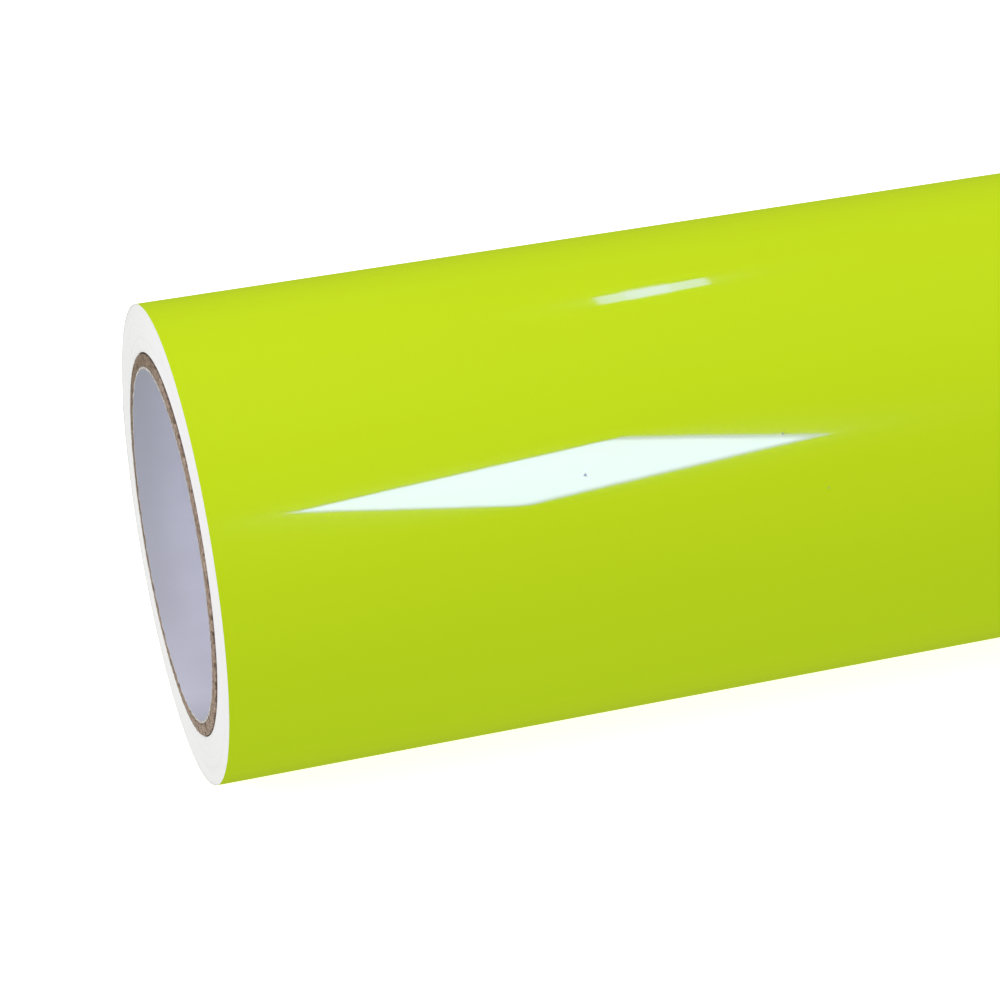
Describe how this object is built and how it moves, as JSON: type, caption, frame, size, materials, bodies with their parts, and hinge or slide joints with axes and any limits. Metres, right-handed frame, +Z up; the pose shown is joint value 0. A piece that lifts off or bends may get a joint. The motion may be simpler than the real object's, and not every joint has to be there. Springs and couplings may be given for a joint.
{
  "type": "roll of vehicle wrap film",
  "caption": "Roll of glossy lime-green self-adhesive film wound face outwards on a cardboard core, lying on its side; the open core takes a shaft.",
  "frame": {"origin": "on the floor under the middle of the roll, midway between its ends", "axes": "+X along the roll's axis, away from the end that the picture shows; +Z up; the film's tail is on the +Y side"},
  "size_m": [1.52, 0.1044, 0.1038],
  "materials": {
    "kraft_board": "saw-cut grey-brown board, matt and fibrous",
    "lining_paper": "smooth pale lavender-grey paper, low sheen",
    "liner_edges": "stacked slit edges of white release liner, satin off-white",
    "lime_film": "high-gloss lime green with sharp reflections",
    "clear_tape": "clear packing tape, glossy"
  },
  "bodies": {
    "root": {"core_tube": "kraft_board", "core_lining": "lining_paper", "wound_web": "liner_edges", "outer_turns": "lime_film", "tail_tape_1": "clear_tape", "tail_tape_2": "clear_tape", "tail_tape_3": "clear_tape"}
  },
  "joints": []
}
